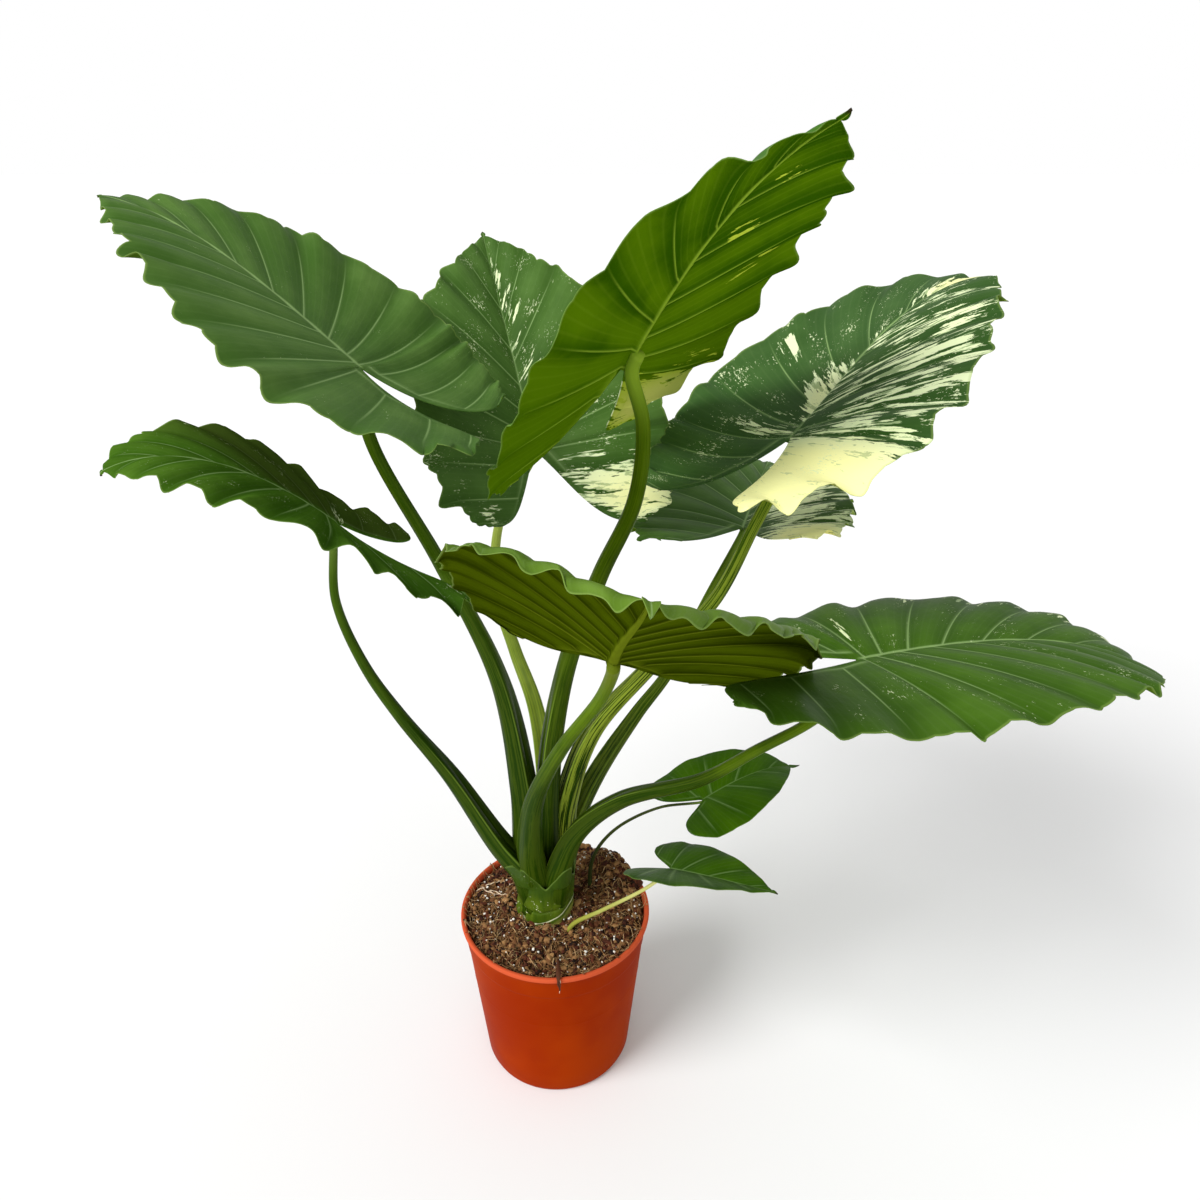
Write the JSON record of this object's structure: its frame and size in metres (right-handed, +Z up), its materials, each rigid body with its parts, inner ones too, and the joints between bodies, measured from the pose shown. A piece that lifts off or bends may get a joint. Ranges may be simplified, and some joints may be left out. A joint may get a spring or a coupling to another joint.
{
  "type": "potted variegated alocasia odora",
  "caption": "Tall foliage plant with large wavy arrow-shaped leaves, partly splashed with cream, on arching stalks that clasp one short stem, rooted in bark mix in a terracotta-coloured pot.",
  "frame": {"origin": "centre of the pot's underside, on the floor", "axes": "+Z up along the pot's axis, +X to the right of the plant's front, +Y to its back"},
  "size_m": [0.967, 0.9207, 0.9875],
  "materials": {
    "green_blade": "satin",
    "young_blade": "satin",
    "cream_blade": "satin",
    "stalk": "satin",
    "young_stalk": "satin",
    "pale_stalk": "satin",
    "stem": "satin",
    "soil": "matte",
    "pot": "satin"
  },
  "bodies": {
    "root": {"blade_tall_middle": "young_blade", "blade_upper_left": "green_blade", "blade_upper_right": "cream_blade", "blade_back": "cream_blade", "blade_low_back": "cream_blade", "blade_front": "young_blade", "blade_low_right": "green_blade", "blade_low_left": "green_blade", "blade_small_upper": "green_blade", "blade_small_lower": "green_blade", "stalk_tall_middle": "young_stalk", "stalk_upper_left": "stalk", "stalk_upper_right": "stalk", "stalk_back": "pale_stalk", "stalk_low_back": "stalk", "stalk_front": "young_stalk", "stalk_low_right": "young_stalk", "stalk_low_left": "stalk", "stalk_small_upper": "stalk", "stalk_small_lower": "pale_stalk", "stem": "stem", "soil": "soil", "pot": "pot"}
  },
  "joints": []
}
